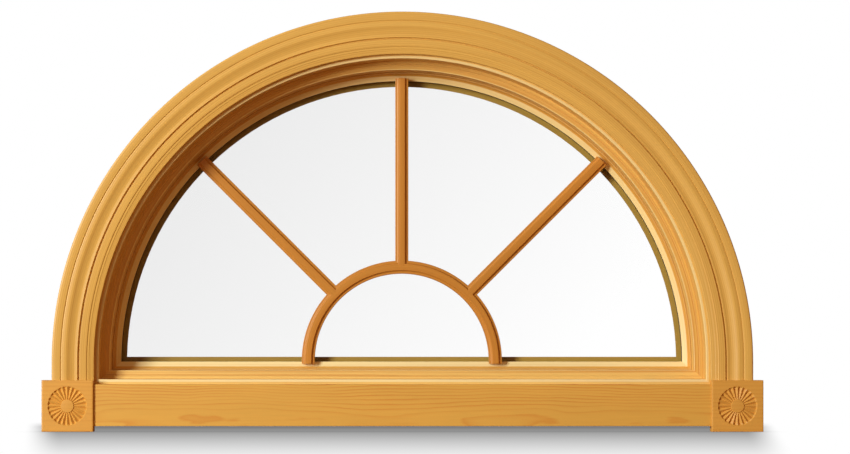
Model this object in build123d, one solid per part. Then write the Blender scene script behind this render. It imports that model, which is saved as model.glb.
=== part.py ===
from build123d import *
import math
import os

# A half-round window with a sunburst grille and its room-side trim.
# X runs across, Y runs from the room out through the wall, Z is up, all in millimetres.
# The origin is the middle of the sill's underside, in the plane of the wall's room face.
# Every arc is struck from one centre on the springline. Every section is drawn once,
# as (radius from that centre, depth into the wall), and serves the arch and the sill alike:
# the sill is the same section laid flat, and the two meet in a mitre.

# Opening and room-side trim
jamb_radius = 508.0
jamb_thickness = 19.05
jamb_depth = 35.0
jamb_edge_break = 1.5
casing_reveal = 6.35
casing_width = 69.85
casing_thickness = 17.6
casing_inner_edge = 9.2
casing_fillet_step = 8.0
casing_fillet_height = 10.3
casing_bead_step = 11.9
casing_band_height = 12.2
casing_band_fall = 0.4
casing_step_slope = 0.9
casing_groove_step = 25.4
casing_groove_width = 2.2
casing_groove_depth = 1.9
casing_groove_lip = 1.5
casing_hollow_step = 33.5
casing_hollow_lip = 0.3
casing_ogee_step = 40.0
casing_ogee_height = 15.0
casing_crest_step = 46.0
casing_crest_height = 16.7
casing_quirk_step = 54.7
casing_quirk_width = 2.2
casing_quirk_depth = 2.8
casing_quirk_lip = 0.8
casing_round_over = 3.4
casing_outer_land = 22.0
casing_relief = 1.6
casing_leg = 29.8
block_size = 85.7
block_thickness = 22.2
block_edge_break = 1.2
board_height = 69.85
board_thickness = 17.5
board_edge_break = 1.2
board_reveal = 7.9

# Carved sunburst on each corner block
rosette_radius = 32.8
rosette_eye_radius = 10.9
rosette_dish = 0.9
flute_count = 24
flute_depth = 2.7
flute_scallop = 1.5
flute_floor_share = 0.6
flute_side_depth = 0.8

# Wooden frame behind the extension jamb
wall_depth = 116.0
sight_step = 28.6
frame_step = 23.4
frame_set_back = 3.0
rebate_step = 14.0
glazing_leg = 8.0
frame_projection = 4.0
drip_slope_width = 22.5
spline_length = 50.0
spline_width = 24.0
spline_thickness = 4.0
spline_clearance = 0.1
spline_middle = 72.0

# Sealed glass unit, bedded on the frame's rebate leg
stop_front = 69.0
stop_depth = 13.0
stop_nosing = 2.0
stop_bevel = 7.9
stop_bevel_depth = 4.0
stop_lip = 1.2
stop_clearance = 0.2
pane_thickness = 3.0
pane_gap = 10.0
glass_edge_cover = 12.0
glass_bed = 0.3
spacer_sight_cover = 0.6
setting_block_length = 76.0
setting_block_inset = 1.0

# Metal cladding outside, with its nailing fin
skin = 1.5
skin_clearance = 0.2
fin_width = 33.0
fin_thickness = 1.2
fin_hole_radius = 2.5
fin_hole_inset = 14.0
fin_hole_spacing = 406.4

# Room-side grille
bar_width = 22.2
bar_depth = 15.0
bar_face = 10.4
bar_cove_width = 2.4
bar_cove_depth = 3.6
bar_seat = 0.3
bar_end_lap = 3.4
hub_radius = 159.5
hub_rise = 2.0
spoke_angles = {"left": 135, "centre": 90, "right": 45}
brad_width = 1.2
brad_clearance = 0.1
brad_inset = 1.2
brad_grip = 9.0
brad_end_cover = 0.5

# Worked-out radii, depths and heights
sight_radius = jamb_radius - sight_step
springline = sight_step + jamb_thickness
frame_reach = sight_step + jamb_thickness
casing_radius = jamb_radius + casing_reveal
stop_back = stop_front + stop_depth
glass_back = stop_back + 2 * pane_thickness + pane_gap
pane_inner_back = stop_back + pane_thickness
pane_outer_front = glass_back - pane_thickness
leg_front = glass_back + glass_bed
frame_back = wall_depth + frame_projection
block_top = springline - casing_leg
board_top = springline - sight_step - board_reveal
grille_back = stop_back - stop_lip - stop_bevel_depth * bar_end_lap / stop_bevel - bar_seat
grille_front = grille_back - bar_depth


def at(step, depth):
    """A point of a section: step outward from the sight line, depth into the wall."""
    return (sight_radius + step, depth)


def polygon(*points):
    return make_face(Polyline(*points, close=True))


def half_round(section, leg, centre=springline):
    """The section swept over the half circle and straight down both legs."""
    bend = revolve(section, axis=Axis((0, 0, 0), (0, -1, 0)), revolution_arc=180)
    right_leg = extrude(section, amount=leg, dir=(0, 0, -1))
    return Pos(0, 0, centre) * (bend + right_leg + mirror(right_leg, about=Plane.YZ))


def section_reach(section):
    return section.bounding_box().max.X - sight_radius


def mitre_wedge():
    """The sill's share of the corners: everything below the two 45 degree mitre lines."""
    rise = 2 * glazing_leg
    drop = 2 * frame_reach + fin_width
    outline = polygon(
        (sight_radius - rise, rise),
        (sight_radius + drop, -drop),
        (-sight_radius - drop, -drop),
        (rise - sight_radius, rise),
    )
    wedge = extrude(Plane.XZ * outline, amount=2 * wall_depth, both=True)
    return Pos(0, 0, springline) * wedge


def mitred_arch(section):
    return half_round(section, section_reach(section)) - mitre_wedge()


def mitred_sill(section):
    half_length = sight_radius + section_reach(section)
    flat = Pos(0, 0, sight_radius + springline) * Rot(0, 90, 0) * section
    return extrude(flat, amount=half_length, dir=(1, 0, 0), both=True) & mitre_wedge()


def half_round_plate(step, front, back):
    """A plate whose edge lies one step outside the sight line, all round."""
    radius = sight_radius + step
    edge = [
        ThreePointArc((radius, 0), (0, radius), (-radius, 0)),
        Line((-radius, 0), (-radius, -step)),
        Line((-radius, -step), (radius, -step)),
        Line((radius, -step), (radius, 0)),
    ]
    plate = extrude(Plane.XZ * make_face(edge), amount=front - back)
    return Pos(0, front, springline) * plate


def casing_section():
    """Two small fillets, a band, a groove, an ogee and a thick outer band; hollow back."""
    fillet = casing_fillet_height
    band = casing_band_height
    slope = casing_step_slope
    groove = casing_groove_step
    crest = casing_crest_height
    quirk = casing_quirk_step
    outer_slope = casing_quirk_width - slope
    inner_land = jamb_thickness - casing_reveal
    outer_land = casing_width - casing_outer_land
    profile = [
        (0, 0),
        (0, casing_inner_edge),
        (casing_fillet_step, casing_inner_edge),
        (casing_fillet_step + slope, fillet),
        (casing_bead_step, fillet),
        (casing_bead_step + slope, band),
        (groove - slope, band - casing_band_fall),
        (groove, band - casing_groove_depth),
        (groove + casing_groove_width - slope, band + casing_groove_lip),
        (casing_hollow_step, band + casing_hollow_lip),
        (casing_ogee_step, casing_ogee_height),
        (casing_crest_step, crest),
        (quirk - outer_slope, crest - casing_groove_lip),
        (quirk, crest - casing_quirk_depth),
        (quirk + slope, casing_thickness - casing_quirk_lip),
        (casing_width - casing_round_over, casing_thickness),
        (casing_width, casing_thickness - casing_round_over),
        (casing_width, 0),
        (outer_land, 0),
        (outer_land, casing_relief),
        (inner_land, casing_relief),
        (inner_land, 0),
    ]
    return polygon(*[(casing_radius + step, -height) for step, height in profile])


def jamb_section():
    corner = jamb_radius
    back = jamb_radius + jamb_thickness
    return polygon(
        (corner, jamb_edge_break),
        (corner + jamb_edge_break, 0),
        (back, 0),
        (back, jamb_depth),
        (corner, jamb_depth),
    )


def weather_slope(inset):
    """Both ends of the outside's slope, with the whole outline drawn in by an inset."""
    pitch = (frame_back - leg_front) / drip_slope_width
    drop = inset * math.hypot(1, pitch)
    nose = at(inset / pitch + drop / pitch - glazing_leg, leg_front + inset)
    end_step = drip_slope_width - glazing_leg + (drop - inset) / pitch
    return nose, at(end_step, frame_back - inset)


def frame_section():
    """Stepped toward the room, rebated for the glass, sloped outside to shed water."""
    step_front = jamb_depth + frame_set_back
    wrap = skin + skin_clearance
    nose, slope_end = weather_slope(wrap)
    return polygon(
        at(rebate_step, step_front),
        at(frame_step, step_front),
        at(frame_step, jamb_depth),
        at(frame_reach, jamb_depth),
        at(frame_reach, frame_back - wrap),
        slope_end,
        nose,
        at(rebate_step, leg_front + wrap),
    )


def cladding_section():
    """A thin skin that wraps the frame's outside, with the nailing fin in one piece."""
    leg_end = rebate_step - skin_clearance
    return_inside = frame_reach + skin_clearance
    return_outside = return_inside + skin
    fin_end = frame_reach + fin_width
    outer_nose, outer_slope_end = weather_slope(0)
    inner_nose, inner_slope_end = weather_slope(skin)
    return polygon(
        at(leg_end, leg_front),
        outer_nose,
        outer_slope_end,
        at(return_outside, frame_back),
        at(return_outside, wall_depth + fin_thickness),
        at(fin_end, wall_depth + fin_thickness),
        at(fin_end, wall_depth),
        at(return_inside, wall_depth),
        at(return_inside, frame_back - skin),
        inner_slope_end,
        inner_nose,
        at(leg_end, leg_front + skin),
    )


def stop_section():
    """Glazing stop: a small nosing, a cove, then the broad bevel down to the glass."""
    outer = rebate_step - stop_clearance
    bevel_top = stop_back - stop_lip - stop_bevel_depth
    return polygon(
        at(0, stop_back),
        at(0, stop_back - stop_lip),
        at(stop_bevel, bevel_top),
        at(rebate_step - stop_nosing, stop_front),
        at(outer, stop_front),
        at(outer, stop_back),
    )


def bar_section():
    """A flat raised face, a sloping cove each side, and square outer fillets."""
    face = bar_face / 2
    fillet = face + bar_cove_width
    half = bar_width / 2
    return polygon(
        (-face, 0),
        (face, 0),
        (fillet, bar_cove_depth),
        (half, bar_cove_depth),
        (half, bar_depth),
        (-half, bar_depth),
        (-half, bar_cove_depth),
        (-fillet, bar_cove_depth),
    )


def polyhedron(points, sides):
    """A closed solid with flat sides, each side a tuple of point numbers."""
    return Solid(Shell([polygon(*[points[i] for i in side]).face() for side in sides]))


def flute_cutter():
    """One tapering flute with a scalloped end, and its slice of the dish."""
    slope = math.tan(math.radians(180 / flute_count))
    land_radius = rosette_radius - flute_scallop
    outline = polygon(
        (rosette_eye_radius, -slope * rosette_eye_radius),
        (land_radius, -slope * land_radius),
        (rosette_radius, -slope * land_radius / 2),
        (rosette_radius, slope * land_radius / 2),
        (land_radius, slope * land_radius),
        (rosette_eye_radius, slope * rosette_eye_radius),
    )
    far = 2 * rosette_radius
    width = far * slope
    depth = 2 * flute_depth
    floor = block_thickness - rosette_dish
    side = flute_floor_share * width
    side_floor = floor - flute_side_depth * depth
    points = [
        (0, 0, floor),
        (far, width, floor),
        (far, side, side_floor),
        (far, 0, floor - depth),
        (far, -side, side_floor),
        (far, -width, floor),
    ]
    sides = [(0, 1, 2), (0, 2, 3), (0, 3, 4), (0, 4, 5), (0, 5, 1), (1, 2, 3, 4, 5)]
    lifted = Plane.XY.offset(block_thickness) * outline
    trough = polyhedron(points, sides) & extrude(lifted, amount=-depth - rosette_dish)
    return trough + extrude(lifted, amount=-rosette_dish)


def rosette_block(side):
    """A square corner block with a dished sunburst of tapering flutes round a flat eye."""
    block = extrude(Rectangle(block_size, block_size), amount=block_thickness)
    front_edges = block.faces().sort_by(Axis.Z)[-1].edges()
    block = chamfer(front_edges, block_edge_break)
    cutter = flute_cutter()
    block = block - [Rot(0, 0, index * 360 / flute_count) * cutter for index in range(flute_count)]
    centre_x = side * (casing_radius + block_size / 2)
    return Pos(centre_x, 0, block_top - block_size / 2) * Rot(90, 0, 0) * block


def casing_board():
    """The flat board between the corner blocks, its two long front edges eased."""
    board = Box(2 * casing_radius, board_thickness, board_height)
    long_front = board.faces().sort_by(Axis.Y)[0].edges().filter_by(Axis.X)
    board = chamfer(long_front, board_edge_break)
    return Pos(0, -board_thickness / 2, board_top - board_height / 2) * board


def from_hub(angle, solid):
    """Turn a piece that lies along +X out from the hub's centre to a spoke's angle."""
    return Pos(0, 0, springline + hub_rise) * Rot(0, -angle, 0) * solid


def mitre_point():
    """The pointed space by which a spoke enters the hub, down to the hub's middle line."""
    outline = polygon(
        (hub_radius, 0),
        (hub_radius + sight_radius, sight_radius),
        (hub_radius + sight_radius, -sight_radius),
    )
    return extrude(Plane.XZ * outline, amount=2 * wall_depth, both=True)


def grille_outline():
    """Every bar stops on the glazing stop's bevel, one lap outside the sight line."""
    return half_round_plate(bar_end_lap, grille_front, grille_back)


def grille_spoke(angle):
    lying = Pos(hub_radius, grille_front, 0) * Rot(0, -90, 0) * bar_section()
    bar = extrude(lying, amount=sight_radius, dir=(1, 0, 0)) & mitre_point()
    return from_hub(angle, bar) & grille_outline()


def grille_hub():
    section = Pos(hub_radius, grille_front) * bar_section()
    ring = half_round(section, 2 * bar_end_lap + hub_rise, springline + hub_rise)
    notches = [from_hub(angle, mitre_point()) for angle in spoke_angles.values()]
    return (ring & grille_outline()) - notches


def brad_places():
    """Where the brads stand: near each spoke's outer end and near the hub's two feet."""
    lap = bar_end_lap - brad_inset
    places = [Pos(side * hub_radius, 0, springline - lap) for side in (-1, 1)]
    for angle in spoke_angles.values():
        across = hub_rise * math.cos(math.radians(angle))
        up = hub_rise * math.sin(math.radians(angle))
        reach = math.sqrt((sight_radius + lap) ** 2 - across**2) - up
        x = reach * math.cos(math.radians(angle))
        z = reach * math.sin(math.radians(angle))
        places.append(Pos(x, 0, springline + hub_rise + z))
    return places


def grille_brads(clearance=0.0):
    """Headless square brads that pin the bars' ends to the glazing stop."""
    width = brad_width + 2 * clearance
    front = grille_back - brad_grip - clearance
    back = stop_back - brad_end_cover + clearance
    brad = Pos(0, (front + back) / 2, 0) * Box(width, back - front, width)
    return [place * brad for place in brad_places()]


def corner_splines(clearance=0.0):
    """A flat wooden key across each mitre of the frame, hidden in its groove."""
    middle = (rebate_step + frame_reach) / 2
    key = Box(
        spline_width + 2 * clearance,
        spline_length + 2 * clearance,
        spline_thickness + 2 * clearance,
    )
    right = Pos(sight_radius + middle, spline_middle, springline - middle) * Rot(0, -45, 0) * key
    return [right, mirror(right, about=Plane.YZ)]


def fin_holes():
    """Two nail holes in the sill's fin, one stud spacing apart."""
    depth = 3 * fin_thickness
    hole = extrude(Plane.XZ * Circle(fin_hole_radius), amount=depth, both=True)
    middle = wall_depth + fin_thickness / 2
    return [
        Pos(side * fin_hole_spacing / 2, middle, -fin_hole_inset) * hole for side in (-1, 1)
    ]


def setting_blocks():
    """Two resilient blocks at the quarter points carry the glass unit's weight."""
    height = rebate_step - glass_edge_cover
    depth = glass_back - stop_back - 2 * setting_block_inset
    block = Box(setting_block_length, depth, height)
    middle = (stop_back + glass_back) / 2
    z = springline - glass_edge_cover - height / 2
    return [Pos(side * sight_radius / 2, middle, z) * block for side in (-1, 1)]


def spacer_bar():
    """The edge spacer that holds the two panes apart and seals them, in one flat ring."""
    outer = half_round_plate(glass_edge_cover, pane_inner_back, pane_outer_front)
    return outer - half_round_plate(spacer_sight_cover, pane_inner_back, pane_outer_front)


nodes = {
    "casing_arch": half_round(casing_section(), casing_leg),
    "casing_board": casing_board(),
    "rosette_block_left": rosette_block(-1),
    "rosette_block_right": rosette_block(1),
    "extension_jamb_arch": mitred_arch(jamb_section()),
    "extension_jamb_sill": mitred_sill(jamb_section()),
    "frame_arch": mitred_arch(frame_section()) - corner_splines(spline_clearance),
    "frame_sill": mitred_sill(frame_section()) - corner_splines(spline_clearance),
    "frame_corner_splines": corner_splines(),
    "glazing_stop_arch": mitred_arch(stop_section()) - grille_brads(brad_clearance),
    "glazing_stop_sill": mitred_sill(stop_section()) - grille_brads(brad_clearance),
    "glass_inner": half_round_plate(glass_edge_cover, stop_back, pane_inner_back),
    "glass_outer": half_round_plate(glass_edge_cover, pane_outer_front, glass_back),
    "glass_spacer": spacer_bar(),
    "setting_blocks": setting_blocks(),
    "cladding_arch": mitred_arch(cladding_section()),
    "cladding_sill": mitred_sill(cladding_section()) - fin_holes(),
    "grille_hub": grille_hub() - grille_brads(brad_clearance),
    "grille_brads": grille_brads(),
}
for name, angle in spoke_angles.items():
    nodes["grille_spoke_" + name] = grille_spoke(angle) - grille_brads(brad_clearance)

os.makedirs("parts", exist_ok=True)
for name, shape in nodes.items():
    piece = Compound(children=shape) if isinstance(shape, list) else shape.solid()
    export_step(piece, f"parts/{name}.step")
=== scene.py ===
import math
import bmesh
import bpy
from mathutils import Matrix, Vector


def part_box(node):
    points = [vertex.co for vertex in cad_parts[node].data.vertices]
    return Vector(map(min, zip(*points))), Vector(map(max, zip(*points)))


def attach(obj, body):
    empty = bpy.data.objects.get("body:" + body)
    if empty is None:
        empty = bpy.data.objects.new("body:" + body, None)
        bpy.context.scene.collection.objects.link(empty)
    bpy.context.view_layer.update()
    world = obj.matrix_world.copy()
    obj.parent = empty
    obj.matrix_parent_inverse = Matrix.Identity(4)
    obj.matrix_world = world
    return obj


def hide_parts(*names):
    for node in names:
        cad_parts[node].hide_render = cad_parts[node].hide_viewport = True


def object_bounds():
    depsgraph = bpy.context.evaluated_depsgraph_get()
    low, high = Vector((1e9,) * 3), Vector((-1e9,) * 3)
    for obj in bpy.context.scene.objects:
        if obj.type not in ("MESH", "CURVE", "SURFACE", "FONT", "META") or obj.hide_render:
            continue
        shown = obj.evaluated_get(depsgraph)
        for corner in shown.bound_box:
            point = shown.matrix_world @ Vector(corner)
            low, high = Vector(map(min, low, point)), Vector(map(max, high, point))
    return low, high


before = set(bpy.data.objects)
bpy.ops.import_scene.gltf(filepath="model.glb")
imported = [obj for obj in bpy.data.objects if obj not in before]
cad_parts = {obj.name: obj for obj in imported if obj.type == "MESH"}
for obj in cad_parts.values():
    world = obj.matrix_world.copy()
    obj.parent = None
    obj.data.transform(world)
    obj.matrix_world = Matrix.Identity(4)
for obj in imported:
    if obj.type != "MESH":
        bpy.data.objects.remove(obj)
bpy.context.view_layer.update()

# The looks of a half-round window: moulded pine trim, stepped frame, grille, glass and cladding.
# The scene is in metres. Sections are drawn in millimetres, as (step outward from the sight
# line, depth into the wall), and each corner says over how many millimetres it is eased.
MM = 0.001

# Heights, widths and radii read from the frame
casing_low, casing_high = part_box("casing_arch")
board_low, board_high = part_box("casing_board")
block_low, block_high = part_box("rosette_block_right")
hub_low, hub_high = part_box("grille_hub")
spoke_low, spoke_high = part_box("grille_spoke_centre")
springline = casing_high.z - casing_high.x
block_top = block_high.z
block_size = block_high.x - block_low.x
casing_inner = board_high.x
glass_lap = 12 * MM
sight_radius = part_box("glass_spacer")[1].x - glass_lap
bar_width = spoke_high.x - spoke_low.x
bar_front = hub_low.y
bar_depth = hub_high.y - hub_low.y
hub_radius = hub_high.x - bar_width / 2
hub_centre = hub_high.z - hub_high.x
grille_drop = springline - hub_low.z

# How finely arcs and eased corners are made
ARC_STEPS = 180
HUB_STEPS = 24
EASE_STEPS = 5
BAR_STEPS = 8
SHARP_ANGLE = math.radians(32)


def eased(corners):
    """An outline whose corners (across, depth, ease) are rounded over the length ease."""
    outline = []
    for index, (across, depth, ease) in enumerate(corners):
        corner = Vector((across, depth)) * MM
        before = Vector(corners[index - 1][:2]) * MM - corner
        after = Vector(corners[(index + 1) % len(corners)][:2]) * MM - corner
        if not ease:
            outline.append(corner)
            continue
        start = corner + before * min(0.5, ease * MM / before.length)
        end = corner + after * min(0.5, ease * MM / after.length)
        for step in range(EASE_STEPS + 1):
            t = step / EASE_STEPS
            outline.append(start * (1 - t) ** 2 + corner * 2 * t * (1 - t) + end * t**2)
    return outline


def lofted(name, rows, grains, material, replaced):
    """A closed piece through rows of points, with the grain's coordinates at every point."""
    shape = bmesh.new()
    grain_layer = shape.verts.layers.float_vector.new("grain")
    placed = []
    for row, grain_row in zip(rows, grains):
        placed.append([])
        for point, grain in zip(row, grain_row):
            vert = shape.verts.new(point)
            vert[grain_layer] = grain
            placed[-1].append(vert)
    count = len(rows[0])
    for row, following in zip(placed, placed[1:]):
        for i in range(count):
            j = (i + 1) % count
            shape.faces.new((row[i], row[j], following[j], following[i]))
    shape.faces.new(placed[0])
    shape.faces.new(placed[-1])
    return finished(name, shape, material, replaced)


def finished(name, shape, material, replaced):
    """Turn a bmesh into a piece that rides on the window and stands for its CAD node."""
    bmesh.ops.recalc_face_normals(shape, faces=shape.faces)
    mesh = bpy.data.meshes.new(name)
    shape.to_mesh(mesh)
    shape.free()
    mesh.shade_smooth()
    mesh.set_sharp_from_angle(angle=SHARP_ANGLE)
    mesh.materials.append(material)
    piece = bpy.data.objects.new(name, mesh)
    bpy.context.scene.collection.objects.link(piece)
    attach(piece, "root")
    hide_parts(replaced)
    return piece


def arch_piece(name, outline, foot, material, replaced, offcut):
    """Sweep an outline over the arch and down both legs; offcut is where its grain starts."""
    rows, grains = [], []
    quarter = math.pi / 2
    angles = [None] + [math.pi * step / ARC_STEPS for step in range(ARC_STEPS + 1)] + [None]
    for place, angle in enumerate(angles):
        row, grain_row = [], []
        side = 1 if place == 0 else -1
        for step, depth in outline:
            radius = sight_radius + step
            if angle is None:
                drop = springline - foot(step)
                row.append((side * radius, depth, foot(step)))
                along = side * (quarter * sight_radius + drop)
            else:
                row.append((radius * math.cos(angle), depth, springline + radius * math.sin(angle)))
                along = (quarter - angle) * sight_radius
            grain_row.append((along + offcut, step, depth))
        rows.append(row)
        grains.append(grain_row)
    return lofted(name, rows, grains, material, replaced)


def level_piece(name, outline, end, height, material, replaced, offcut):
    """Lay an outline along X; end and height give each point's half length and its Z."""
    rows, grains = [], []
    for side in (-1, 1):
        rows.append([(side * end(step), depth, height(step)) for step, depth in outline])
        grains.append([(side * end(step) + offcut, step, depth) for step, depth in outline])
    return lofted(name, rows, grains, material, replaced)


def mitre_height(step):
    return springline - step


def mitre_end(step):
    return sight_radius + step


class Field:
    """A number that changes over a surface: a socket that Python's arithmetic works on."""

    def __init__(self, shader, socket):
        self.shader = shader
        self.socket = socket

    def maths(self, operation, *values):
        settings = {"operation": operation}
        return self.shader.field("ShaderNodeMath", settings, dict(enumerate(values)))

    def __add__(self, other):
        return self.maths("ADD", self, other)

    def __radd__(self, other):
        return self.maths("ADD", other, self)

    def __sub__(self, other):
        return self.maths("SUBTRACT", self, other)

    def __rsub__(self, other):
        return self.maths("SUBTRACT", other, self)

    def __mul__(self, other):
        return self.maths("MULTIPLY", self, other)

    def __rmul__(self, other):
        return self.maths("MULTIPLY", other, self)

    def __truediv__(self, other):
        return self.maths("DIVIDE", self, other)

    def __pow__(self, other):
        return self.maths("POWER", self, other)

    def fraction(self):
        return self.maths("FRACT", self)

    def magnitude(self):
        return self.maths("ABSOLUTE", self)

    def at_least(self, floor):
        return self.maths("MAXIMUM", self, floor)

    def limited(self):
        return self.maths("MINIMUM", self.at_least(0.0), 1.0)

    def between(self, low, high):
        """0 below low, 1 above high, and smooth from one to the other."""
        settings = {"interpolation_type": "SMOOTHSTEP"}
        sockets = {"Value": self, "From Min": low, "From Max": high}
        return self.shader.field("ShaderNodeMapRange", settings, sockets)


class Shader:
    """Builds one material's or the world's node tree."""

    def __init__(self, owner):
        owner.use_nodes = True
        self.tree = owner.node_tree
        self.tree.nodes.clear()

    def node(self, kind, settings=None, sockets=None):
        """Add a node: its settings first, then a value or a link for each named socket."""
        made = self.tree.nodes.new(kind)
        for key, value in (settings or {}).items():
            if key == "stops":
                self.set_stops(made.color_ramp, value)
            else:
                setattr(made, key, value)
        for key, value in (sockets or {}).items():
            target = made.inputs[key]
            if isinstance(value, Field):
                value = value.socket
            if isinstance(value, bpy.types.NodeSocket):
                self.tree.links.new(value, target)
            else:
                target.default_value = value
        return made

    def field(self, kind, settings=None, sockets=None, output=0):
        return Field(self, self.node(kind, settings, sockets).outputs[output])

    def set_stops(self, ramp, stops):
        while len(ramp.elements) < len(stops):
            ramp.elements.new(0.5)
        for element, (position, shade) in zip(ramp.elements, stops):
            element.position = position
            element.color = shade

    def scaled(self, vector, factors):
        settings = {"operation": "MULTIPLY"}
        return self.node("ShaderNodeVectorMath", settings, {0: vector, 1: factors}).outputs[0]

    def noise(self, vector, factors, detail=2.0, roughness=0.5):
        sockets = {"Vector": self.scaled(vector, factors), "Scale": 1.0}
        sockets.update({"Detail": detail, "Roughness": roughness})
        return self.field("ShaderNodeTexNoise", None, sockets)

    def mix(self, factor, first, second, blend="MIX"):
        settings = {"data_type": "RGBA", "blend_type": blend}
        return self.node("ShaderNodeMix", settings, {0: factor, 6: first, 7: second}).outputs[2]

    def shaded(self, paint, shade):
        """A colour made lighter or darker by a number about 1."""
        grey = self.node("ShaderNodeCombineColor", None, {0: shade, 1: shade, 2: shade}).outputs[0]
        return self.mix(1.0, paint, grey, "MULTIPLY")

    def curve(self, value, stops):
        """A number through a ramp of (place, number) stops."""
        shades = [(place, (number, number, number, 1)) for place, number in stops]
        return self.field("ShaderNodeValToRGB", {"stops": shades}, {0: value})

    def bumped(self, height, strength, distance):
        sockets = {"Strength": strength, "Distance": distance, "Height": height}
        return self.node("ShaderNodeBump", None, sockets).outputs[0]

    def output(self, shader_socket):
        self.node("ShaderNodeOutputMaterial", None, {"Surface": shader_socket})

    def principled(self, sockets):
        self.output(self.node("ShaderNodeBsdfPrincipled", None, sockets).outputs[0])


def colour(red, green, blue):
    """A colour written as on a screen, 0 to 255, as the linear values that Blender takes."""
    def linear(value):
        share = value / 255
        return share / 12.92 if share < 0.04045 else ((share + 0.055) / 1.055) ** 2.4
    return (linear(red), linear(green), linear(blue), 1)


# Clear-finished pine. Growth rings run round a heart outside the piece; "waver" is how far
# they wander, "streaks" how strong the fine stripes along the grain are.
VARNISH = {"Coat Weight": 0.2, "Coat Roughness": 0.3, "Specular IOR Level": 0.25}


def pine(
    name, early, late, ring_pitch, waver, heart, streaks, stripe_share, figure, edges=None, pale=None
):
    """Clear-finished pine; edges gives, from step and depth, how far a place has the pale colour: a
    painted highlight, and on the stop's bevel lighter wood with painted sheen.
    """
    material = bpy.data.materials.new(name)
    wood = Shader(material)
    grain = wood.node("ShaderNodeAttribute", {"attribute_name": "grain"}).outputs["Vector"]
    split = wood.node("ShaderNodeSeparateXYZ", None, {0: grain})
    across = Field(wood, split.outputs[1])
    depth = Field(wood, split.outputs[2])
    drift = wood.noise(grain, figure, 2.0)
    ripple = wood.noise(grain, (12, 70, 70), 2.0)
    aside = (across - heart[0]) ** 2
    span = aside + (depth - heart[1]) ** 2
    offset = (drift - 0.5) * waver + (ripple - 0.5) * (waver * 0.16)
    ring = ((span**0.5 + offset) / ring_pitch).fraction()
    late_wood = wood.curve(ring, [(0, 0), (0.5, 0.05), (0.76, 0.45), (0.9, 1), (1, 0)])
    strength = wood.noise(grain, (3, 60, 60), 2.0).between(0.3, 0.6)
    lines = late_wood * (strength * 0.6 + 0.4) * (aside / span * 0.6 + 0.4) * stripe_share
    fibre = wood.noise(grain, (1.6, 210, 210), 3.0, 0.6)
    threads = wood.noise(grain, (14, 800, 800), 2.0)
    tone = wood.noise(grain, (3, 14, 14), 2.0)
    amount = (lines + (fibre - 0.45) * streaks).limited()
    shade = 1 + (threads - 0.5) * 0.12 + (tone - 0.5) * 0.2
    ground = early
    # Painted highlights on edges, and the stop's lighter bevel with painted sheen, take the pale
    # colour
    if edges:
        pale_and_highlight_share = edges(across, depth).limited()
        ground = wood.mix(pale_and_highlight_share, early, pale)
        amount = amount * (1 - pale_and_highlight_share * 0.6)
    finish = {
        "Base Color": wood.shaded(wood.mix(amount, ground, late), shade),
        "Roughness": 0.44 + (fibre - 0.5) * 0.12,
        "Normal": wood.bumped(threads * 0.6 + late_wood * 0.4, 0.1, 0.0004),
    }
    finish.update(VARNISH)
    wood.principled(finish)
    return material


def painted_metal(name, paint):
    material = bpy.data.materials.new(name)
    coat = Shader(material)
    place = coat.node("ShaderNodeTexCoord").outputs["Object"]
    peel = coat.noise(place, (900, 900, 900), 2.0)
    cloud = coat.noise(place, (6, 6, 6), 3.0)
    coat.principled({
        "Base Color": coat.shaded(paint, 1 + (cloud - 0.5) * 0.14),
        "Roughness": 0.4 + (cloud - 0.5) * 0.1,
        "Normal": coat.bumped(peel, 0.08, 0.0002),
    })
    return material


def matt_rubber(name, tint, worn_tint):
    material = bpy.data.materials.new(name)
    rubber = Shader(material)
    place = rubber.node("ShaderNodeTexCoord").outputs["Object"]
    speck = rubber.noise(place, (700, 700, 700), 3.0)
    rubber.principled({
        "Base Color": rubber.mix(speck, tint, worn_tint),
        "Roughness": 0.7 + (speck - 0.5) * 0.1,
        "Normal": rubber.bumped(speck, 0.1, 0.0002),
    })
    return material


def drawn_wire(name):
    material = bpy.data.materials.new(name)
    wire = Shader(material)
    place = wire.node("ShaderNodeTexCoord").outputs["Object"]
    scratch = wire.noise(place, (3000, 200, 3000), 2.0)
    wire.principled({
        "Base Color": wire.mix(scratch, colour(190, 190, 188), colour(140, 140, 138)),
        "Metallic": 1.0,
        "Roughness": 0.3 + scratch * 0.2,
    })
    return material


# A painted reflection greys the pane: how grey it is at the origin, and how much more so for each
# metre left and up
PAINTED_REFLECTION_SHARE = 0.245
PAINTED_REFLECTION_LEFTWARD = 0.935
PAINTED_REFLECTION_UPWARD = 0.82


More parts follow.
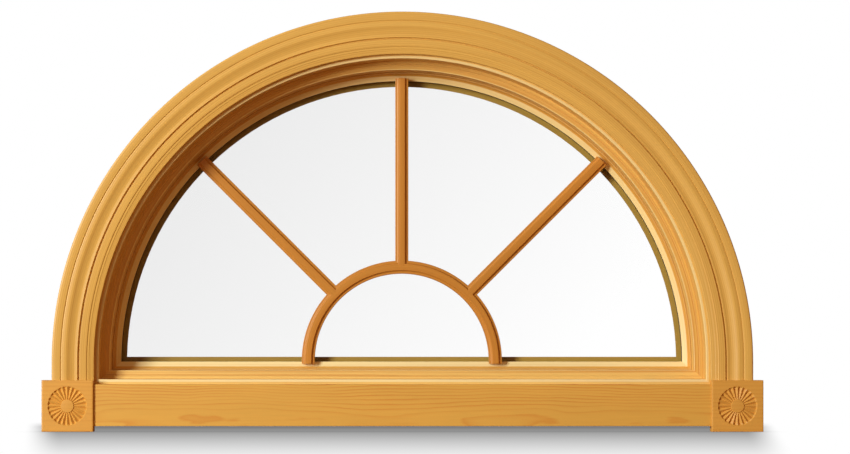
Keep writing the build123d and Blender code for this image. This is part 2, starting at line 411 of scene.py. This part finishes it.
def clear_glass(name):
    """A pane that bends nothing: greyer toward its upper left, a painted reflection; mirror-like
    only side on.
    """
    material = bpy.data.materials.new(name)
    pane = Shader(material)
    place = pane.node("ShaderNodeTexCoord").outputs["Object"]
    parts = pane.node("ShaderNodeSeparateXYZ", None, {0: place})
    across = Field(pane, parts.outputs[0])
    height = Field(pane, parts.outputs[2])
    # The painted reflection: the pane greys toward its upper left by position
    painted_reflection = (PAINTED_REFLECTION_SHARE - across * PAINTED_REFLECTION_LEFTWARD + height * PAINTED_REFLECTION_UPWARD).limited()
    near_face = 1 - pane.field("ShaderNodeNewGeometry", None, None, "Backfacing")
    fresnel = pane.field("ShaderNodeFresnel", None, {"IOR": 1.5})
    mirror = ((fresnel - 0.045) * near_face).limited()
    clear = pane.node("ShaderNodeBsdfTransparent", None, {0: (1, 1, 1, 1)}).outputs[0]
    grey = pane.node("ShaderNodeBsdfTransparent", None, {0: (0.95, 0.95, 0.95, 1)}).outputs[0]
    gloss = pane.node("ShaderNodeBsdfGlossy", None, {"Roughness": 0.02}).outputs[0]
    with_painted_reflection = pane.node("ShaderNodeMixShader", None, {0: painted_reflection, 1: clear, 2: grey}).outputs[0]
    surface = pane.node("ShaderNodeMixShader", None, {0: mirror, 1: with_painted_reflection, 2: gloss}).outputs[0]
    pane.output(surface)
    return material


# Pale colours for painted highlights on the edges of the arch and of the sill, and for the stop's
# bevel, which is lighter wood with painted sheen
PALE_WOOD_AND_HIGHLIGHT = colour(237, 206, 140)
PALER_WOOD_AND_HIGHLIGHT = colour(244, 220, 160)


def jamb_front_highlight(step, depth):
    """Painted highlight on the inner part of the jamb's front edge."""
    return depth.between(2.2 * MM, 1.2 * MM) * step.between(33.4 * MM, 32.4 * MM)


def frame_corner(step, depth):
    """Painted highlight on the frame's front corner, next to the opening."""
    return depth.between(40.5 * MM, 39.5 * MM) * step.between(15.8 * MM, 14.8 * MM)


def arch_highlights(step, depth):
    """Where the arched jamb and frame take the painted highlight."""
    return jamb_front_highlight(step, depth) + frame_corner(step, depth) * 0.8


def sill_highlights(step, depth):
    """Where the sill's jamb and frame take the painted highlight, less so on the frame's corner."""
    return jamb_front_highlight(step, depth) + frame_corner(step, depth) * 0.3


def stop_pale_and_highlight(step, depth):
    """Pale on the stop's bevel, lighter wood with painted sheen, and a weaker painted highlight on
    its small nosing.
    """
    return depth.between(76.2 * MM, 76.9 * MM) + depth.between(71.6 * MM, 70.8 * MM) * 0.25


casing_pine = pine(
    "casing_pine",
    early=colour(221, 171, 84),
    late=colour(188, 126, 46),
    ring_pitch=3.1 * MM,
    waver=3 * MM,
    heart=(0.16, -0.05),
    streaks=0.8,
    stripe_share=0.6,
    figure=(1.2, 12, 12),
)
board_pine = pine(
    "board_pine",
    early=colour(219, 165, 74),
    late=colour(200, 112, 36),
    ring_pitch=3.9 * MM,
    waver=24 * MM,
    heart=(0.008, 0.022),
    streaks=0.25,
    stripe_share=1.0,
    figure=(3.6, 10, 10),
)
block_pine = pine(
    "block_pine",
    early=colour(215, 155, 68),
    late=colour(196, 128, 48),
    ring_pitch=6.0 * MM,
    waver=9 * MM,
    heart=(-0.05, 0.03),
    streaks=0.4,
    stripe_share=0.5,
    figure=(5, 14, 14),
)
FRAME_GRAIN = {
    "ring_pitch": 3.4 * MM,
    "waver": 2 * MM,
    "heart": (0.12, 0.12),
    "streaks": 1.9,
    "stripe_share": 0.7,
    "figure": (1.0, 12, 12),
}
frame_pine = pine(
    "frame_pine",
    early=colour(228, 179, 92),
    late=colour(188, 106, 31),
    edges=arch_highlights,
    pale=PALE_WOOD_AND_HIGHLIGHT,
    **FRAME_GRAIN,
)
# The sill's woods are lighter copies of the arch's: painted light on the sill, which faces up
sill_pine = pine(
    "sill_pine",
    early=colour(236, 193, 108),
    late=colour(194, 114, 36),
    edges=sill_highlights,
    pale=PALER_WOOD_AND_HIGHLIGHT,
    **FRAME_GRAIN,
)
STOP_GRAIN = {
    "ring_pitch": 4.2 * MM,
    "waver": 2 * MM,
    "heart": (0.1, 0.16),
    "streaks": 0.9,
    "stripe_share": 0.5,
    "figure": (1.0, 12, 12),
    "edges": stop_pale_and_highlight,
}
stop_pine = pine(
    "stop_pine",
    early=colour(210, 150, 64),
    late=colour(186, 106, 30),
    pale=PALE_WOOD_AND_HIGHLIGHT,
    **STOP_GRAIN,
)
# A lighter copy of the arch's stop pine: painted light on the sill's stop, which faces up
stop_sill_pine = pine(
    "stop_sill_pine",
    early=colour(226, 170, 80),
    late=colour(194, 118, 38),
    pale=PALER_WOOD_AND_HIGHLIGHT,
    **STOP_GRAIN,
)
grille_pine = pine(
    "grille_pine",
    early=colour(198, 131, 49),
    late=colour(168, 94, 28),
    ring_pitch=2.6 * MM,
    waver=2 * MM,
    heart=(0.03, 0.02),
    streaks=0.9,
    stripe_share=0.5,
    figure=(2, 20, 20),
)
cladding_paint = painted_metal("cladding_paint", colour(183, 144, 62))
spacer_foam = matt_rubber("spacer_foam", colour(70, 66, 60), colour(52, 48, 44))
block_rubber = matt_rubber("block_rubber", colour(40, 40, 40), colour(28, 28, 28))
brad_wire = drawn_wire("brad_wire")
pane_glass = clear_glass("pane_glass")

# Moulded casing: (step outward from its inner edge, depth, ease)
casing_band = casing_low.y / MM
casing_corners = [
    (0, 0, 0),
    (0, -8.4, 1.6),
    (7.7, -9.6, 0.4),
    (8.5, -10.3, 0.6),
    (11.7, -10.6, 0.4),
    (12.6, -11.8, 0.8),
    (18.0, -12.3, 4),
    (24.3, -12.4, 0.5),
    (25.1, -9.7, 0.2),
    (26.3, -9.7, 0.2),
    (27.2, -13.5, 0.7),
    (33.0, -12.4, 5),
    (40.0, -14.4, 5),
    (46.2, -17.1, 4),
    (53.6, -16.2, 0.6),
    (54.6, -15.5, 0.3),
    (55.4, -16.8, 0.6),
    (62.0, casing_band, 4),
    (69.85, casing_band + 0.5, 3.2),
    (69.85, 0, 0),
    (47.85, 0, 0),
    (47.85, -1.6, 0),
    (12.7, -1.6, 0),
    (12.7, 0, 0),
]
inner_step = (casing_inner - sight_radius) / MM
casing_rows = eased([(inner_step + step, depth, ease) for step, depth, ease in casing_corners])

# Flat jamb stock, from the wall's room face to the frame
jamb_rows = eased([(28.6, 0, 1.5), (47.65, 0, 0.3), (47.65, 35, 0), (28.6, 35, 0)])

# Stepped frame, rebated for the glass and sloped outside
frame_rows = eased([
    (14, 38, 1.6),
    (23.4, 38, 1.2),
    (23.4, 35, 0),
    (47.65, 35, 0),
    (47.65, 118.3, 0),
    (15.2, 118.3, 0),
    (-3.8, 100, 0),
    (14, 100, 0),
])

# Glazing stop: a small nosing, a hollow, then the broad bevel down to the glass
stop_rows = eased([
    (0, 82, 0),
    (0, 80.8, 0.3),
    (7.9, 76.8, 0.4),
    (9.6, 75.6, 1.5),
    (11.4, 73.2, 1.5),
    (12.0, 69, 0.5),
    (13.8, 69, 0.3),
    (13.8, 82, 0),
])

arch_piece(
    name="moulded_casing",
    outline=casing_rows,
    foot=lambda step: block_top,
    material=casing_pine,
    replaced="casing_arch",
    offcut=0.1,
)

# Jamb, frame and stop of the arch: (name, outline, wood, CAD node, where its grain starts)
arch_lengths = [
    ("jamb_arch", jamb_rows, frame_pine, "extension_jamb_arch", 0.31),
    ("stepped_frame_arch", frame_rows, frame_pine, "frame_arch", 1.3),
    ("stop_arch", stop_rows, stop_pine, "glazing_stop_arch", 0.67),
]
for name, outline, wood, node, offcut in arch_lengths:
    arch_piece(name, outline, mitre_height, wood, node, offcut)

# The same three along the sill
sill_lengths = [
    ("jamb_sill", jamb_rows, sill_pine, "extension_jamb_sill", 0.9),
    ("stepped_frame_sill", frame_rows, sill_pine, "frame_sill", 2.3),
    ("stop_sill", stop_rows, stop_sill_pine, "glazing_stop_sill", 1.7),
]
for name, outline, wood, node, offcut in sill_lengths:
    level_piece(name, outline, mitre_end, mitre_height, wood, node, offcut)

# Flat board between the corner blocks: (height from its underside, depth, ease)
board_front = board_low.y / MM
board_height = (board_high.z - board_low.z) / MM
board_rows = eased([
    (0, board_front, 1.2),
    (board_height, board_front, 1.2),
    (board_height, 0, 0),
    (0, 0, 0),
])
level_piece(
    name="flat_board",
    outline=board_rows,
    end=lambda step: casing_inner,
    height=lambda step: board_low.z + step,
    material=board_pine,
    replaced="casing_board",
    offcut=0.45,
)


def square_reach(angle, reach):
    return reach / max(abs(math.cos(angle)), abs(math.sin(angle)))


def carved_block(side, replaced, offcut):
    """A corner block: carved sunburst round a flat eye, eased front edges, square sides."""
    flutes, facets, shares = 24, 8, 8
    rim, land, eye = 32.8 * MM, 32.2 * MM, 10.9 * MM
    end_wall, ridge_sink = 1.9 * MM, 0.7 * MM
    arris, border = 0.2 * MM, 3 * MM
    steepness = math.tan(math.radians(40))
    ease = 1.2 * MM
    half = block_size / 2
    front = block_low.y
    centre_x = side * (block_low.x + half)
    centre_z = block_low.z + half
    shape = bmesh.new()
    grain_layer = shape.verts.layers.float_vector.new("grain")
    columns = []
    for index in range(flutes * facets):
        angle = math.tau * index / (flutes * facets)
        gouge = 1 - abs(2 * (index % facets) / facets - 1)
        end = land + (rim - land) * gouge**0.5
        spoke = [(eye - 1.4 * MM, 0), (eye - 0.5 * MM, 0.1 * MM), (eye, ridge_sink)]
        for step in range(shares + 1):
            share = step / shares
            reach = eye + arris + (end - end_wall - eye - arris) * share
            ridge = ridge_sink * (1 - 0.6 * share)
            valley = math.pi * reach / flutes * steepness
            spoke.append((reach, ridge + valley * gouge))
        spoke += [(end - arris, ridge_sink * 0.3), (end, 0), (end + 0.6 * MM, 0)]
        for reach, sink in ((half - border, 0), (half - ease, 0), (half - 0.3 * ease, 0.3 * ease)):
            spoke.append((square_reach(angle, reach), sink))
        spoke += [(square_reach(angle, half), ease), (square_reach(angle, half), -front)]
        column = []
        for reach, sink in spoke:
            x = centre_x + reach * math.cos(angle)
            z = centre_z + reach * math.sin(angle)
            vert = shape.verts.new((x, front + sink, z))
            vert[grain_layer] = (x + offcut, z + offcut / 7, front + sink)
            column.append(vert)
        columns.append(column)
    for column, following in zip(columns, columns[1:] + columns[:1]):
        for i in range(len(column) - 1):
            shape.faces.new((column[i], column[i + 1], following[i + 1], following[i]))
    shape.faces.new([column[0] for column in columns])
    shape.faces.new([column[-1] for column in columns])
    return finished(f"carved_{replaced}", shape, block_pine, replaced)


carved_block(-1, "rosette_block_left", 0.2)
carved_block(1, "rosette_block_right", 0.7)

# Grille bars: (offset from the bar's middle line, depth behind its face, ease)
bar_half = bar_width / 2 / MM
bar_back = bar_depth / MM
bar_rows = eased([
    (-5.4, 0, 0.9),
    (0, 0, 0),
    (5.4, 0, 0.9),
    (5.9, 2.4, 1.2),
    (7.8, 3.6, 0.8),
    (bar_half, 3.6, 1.1),
    (bar_half, bar_back, 0),
    (0, bar_back, 0),
    (-bar_half, bar_back, 0),
    (-bar_half, 3.6, 1.1),
    (-7.8, 3.6, 0.8),
    (-5.9, 2.4, 1.2),
])


def grille_hub():
    """The half-round bar, in four lengths that meet in points round the three spokes."""
    bounds = [0, math.pi / 4, math.pi / 2, 3 * math.pi / 4, math.pi]
    foot = springline - grille_drop
    shape = bmesh.new()
    grain_layer = shape.verts.layers.float_vector.new("grain")

    def placed(angle, offset, depth, height=None):
        radius = hub_radius + offset
        x = radius * math.cos(angle)
        z = hub_centre + radius * math.sin(angle) if height is None else height
        vert = shape.verts.new((x, bar_front + depth, z))
        vert[grain_layer] = (angle * hub_radius, offset, depth)
        return vert

    for segment in range(4):
        start, end = bounds[segment], bounds[segment + 1]
        rows = []
        for step in range(HUB_STEPS + 1):
            share = step / HUB_STEPS
            row = []
            for offset, depth in bar_rows:
                point = max(offset, 0)
                half_notch = math.acos(hub_radius / ((hub_radius + point) * math.sqrt(2)))
                notch = half_notch - math.pi / 4
                first = start + (notch if segment > 0 else 0)
                last = end - (notch if segment < 3 else 0)
                row.append(placed(first + (last - first) * share, offset, depth))
            rows.append(row)
        if segment == 0:
            rows.insert(0, [placed(0, offset, depth, foot) for offset, depth in bar_rows])
        if segment == 3:
            rows.append([placed(math.pi, offset, depth, foot) for offset, depth in bar_rows])
        count = len(bar_rows)
        for row, following in zip(rows, rows[1:]):
            for i in range(count):
                j = (i + 1) % count
                shape.faces.new((row[i], row[j], following[j], following[i]))
        shape.faces.new(rows[0])
        shape.faces.new(rows[-1])
    return finished("half_round_bar", shape, grille_pine, "grille_hub")


def grille_spoke(name, degrees, offcut):
    """A straight bar: pointed where it enters the hub, cut to the arch at its outer end."""
    angle = math.radians(degrees)
    out = Vector((math.cos(angle), 0, math.sin(angle)))
    side = Vector((-math.sin(angle), 0, math.cos(angle)))
    rise = hub_centre - springline
    arch = sight_radius + grille_drop
    rows, grains = [], []
    for step in range(BAR_STEPS + 1):
        row, grain_row = [], []
        for offset, depth in bar_rows:
            start = hub_radius + abs(offset)
            across = offset + rise * side.z
            reach = math.sqrt(arch**2 - across**2) - rise * out.z
            along = start + (reach - start) * step / BAR_STEPS
            point = out * along + side * offset
            row.append((point.x, bar_front + depth, hub_centre + point.z))
            grain_row.append((along + offcut, offset + offcut / 7, depth))
        rows.append(row)
        grains.append(grain_row)
    node = f"grille_spoke_{name}"
    return lofted(f"straight_bar_{name}", rows, grains, grille_pine, node)


grille_hub()
grille_spoke("left", 135, 0.3)
grille_spoke("centre", 90, 0.9)
grille_spoke("right", 45, 1.6)

# Nodes whose solid is right as it is take a finish of their own
node_finishes = {
    "frame_corner_splines": frame_pine,
    "glass_inner": pane_glass,
    "glass_outer": pane_glass,
    "glass_spacer": spacer_foam,
    "setting_blocks": block_rubber,
    "cladding_arch": cladding_paint,
    "cladding_sill": cladding_paint,
    "grille_brads": brad_wire,
}
for name, material in node_finishes.items():
    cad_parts[name].data.materials.clear()
    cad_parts[name].data.materials.append(material)

# The camera stands where the photograph's did: a little left of the middle, level
PHOTO_WIDTH, PHOTO_HEIGHT = 850, 454
FOCAL_PIXELS = 2153
AXIS_X, AXIS_Y = 376, 334
CAMERA_PLACE = (-0.044, -3.6, 0.0948)
SENSOR = 36.0
camera_data = bpy.data.cameras.new("camera")
camera_data.sensor_width = SENSOR
camera_data.lens = FOCAL_PIXELS / PHOTO_WIDTH * SENSOR
camera_data.shift_x = (PHOTO_WIDTH / 2 - AXIS_X) / PHOTO_WIDTH
camera_data.shift_y = (AXIS_Y - PHOTO_HEIGHT / 2) / PHOTO_WIDTH
camera = bpy.data.objects.new("camera", camera_data)
camera.location = CAMERA_PLACE
camera.rotation_euler = (math.radians(90), 0, 0)
bpy.context.scene.collection.objects.link(camera)
bpy.context.scene.camera = camera


def soft_box(name, place, target, width, height, power, tint):
    data = bpy.data.lights.new(name, "AREA")
    data.shape = "RECTANGLE"
    data.size = width
    data.size_y = height
    data.energy = power
    data.color = tint
    lamp = bpy.data.objects.new(name, data)
    lamp.location = place
    aim = Vector(target) - Vector(place)
    lamp.rotation_euler = aim.to_track_quat("-Z", "Y").to_euler()
    bpy.context.scene.collection.objects.link(lamp)


soft_box(
    name="key",
    place=(-4.4, -4.5, 1.4),
    target=(0, 0, 0.25),
    width=1.7,
    height=2.6,
    power=456,
    tint=(0.92, 1.0, 1.0),
)


ROOM_LIGHT = (0.3, 0.158, 0.07, 1)


def studio_world():
    """White past the object; a dim warm room for light, brighter left and above for gloss."""
    world = bpy.data.worlds.new("studio")
    bpy.context.scene.world = world
    sky = Shader(world)
    path = sky.node("ShaderNodeLightPath")
    camera_ray = Field(sky, path.outputs["Is Camera Ray"])
    through_ray = Field(sky, path.outputs["Is Transmission Ray"])
    seen = camera_ray + through_ray
    gloss = Field(sky, path.outputs["Is Glossy Ray"])
    toward = sky.node("ShaderNodeTexCoord").outputs["Generated"]
    parts = sky.node("ShaderNodeSeparateXYZ", None, {0: toward})
    rightward = Field(sky, parts.outputs[0])
    upward = Field(sky, parts.outputs[2])
    card = (upward * 0.6 - rightward).between(-0.3, 0.3)
    white = (1, 1, 1, 1)
    glossy = sky.mix((card * 0.35 + 0.08).limited(), (0, 0, 0, 1), white)
    room = sky.shaded(ROOM_LIGHT, 1 + rightward * 0.45)
    lit = sky.mix(gloss, room, glossy)
    back = sky.node("ShaderNodeBackground", None, {"Color": sky.mix(seen.limited(), lit, white)})
    sky.node("ShaderNodeOutputWorld", None, {"Surface": back.outputs[0]})


studio_world()


# The window's shadow on the floor: its shade at the wall, and how it pales forward and behind
SHADE_AT_WALL = 0.32
PALER_FORWARD = 0.742
PALER_BEHIND = 4.0
BEHIND_OFFSET = 0.5

# Its blurred sides, from the middle out, close in toward the camera
SIDE_START, SIDE_END = 0.573, 0.633
SIDE_SLOPE = 0.156
CONTACT_SHARE = 0.3


def studio_floor():
    """A pale floor: white to the camera, soft grey where the window stands over it."""
    reach = 40.0
    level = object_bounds()[0].z
    mesh = bpy.data.meshes.new("floor")
    corners = [(-reach, -reach), (reach, -reach), (reach, reach), (-reach, reach)]
    mesh.from_pydata([(x, y, level) for x, y in corners], [], [(0, 1, 2, 3)])
    floor = bpy.data.objects.new("floor", mesh)
    bpy.context.scene.collection.objects.link(floor)
    material = bpy.data.materials.new("floor_card")
    card = Shader(material)
    path = card.node("ShaderNodeLightPath")
    camera_ray = Field(card, path.outputs["Is Camera Ray"])
    through_ray = Field(card, path.outputs["Is Transmission Ray"])
    place = card.node("ShaderNodeTexCoord").outputs["Object"]
    parts = card.node("ShaderNodeSeparateXYZ", None, {0: place})
    across = Field(card, parts.outputs[0])
    away = Field(card, parts.outputs[1])
    behind = away * PALER_BEHIND - BEHIND_OFFSET
    under = (SHADE_AT_WALL - away * PALER_FORWARD).at_least(behind).limited()
    beside = (across.magnitude() - away * SIDE_SLOPE).between(SIDE_START, SIDE_END)
    contact = card.field("ShaderNodeAmbientOcclusion", {"samples": 8}, {"Distance": 0.05}, "AO")
    openness = (under + (1 - under) * beside) * (contact * CONTACT_SHARE + (1 - CONTACT_SHARE))
    grey = card.shaded((1, 1, 1, 1), openness)
    glow = card.node("ShaderNodeEmission", None, {"Color": grey}).outputs[0]
    matt = card.node("ShaderNodeBsdfDiffuse", None, {"Color": (0.5, 0.34, 0.2, 1)}).outputs[0]
    seen = (camera_ray + through_ray).limited()
    card.output(card.node("ShaderNodeMixShader", None, {0: seen, 1: matt, 2: glow}).outputs[0])
    mesh.materials.append(material)


studio_floor()

bpy.context.scene.view_settings.view_transform = "Standard"
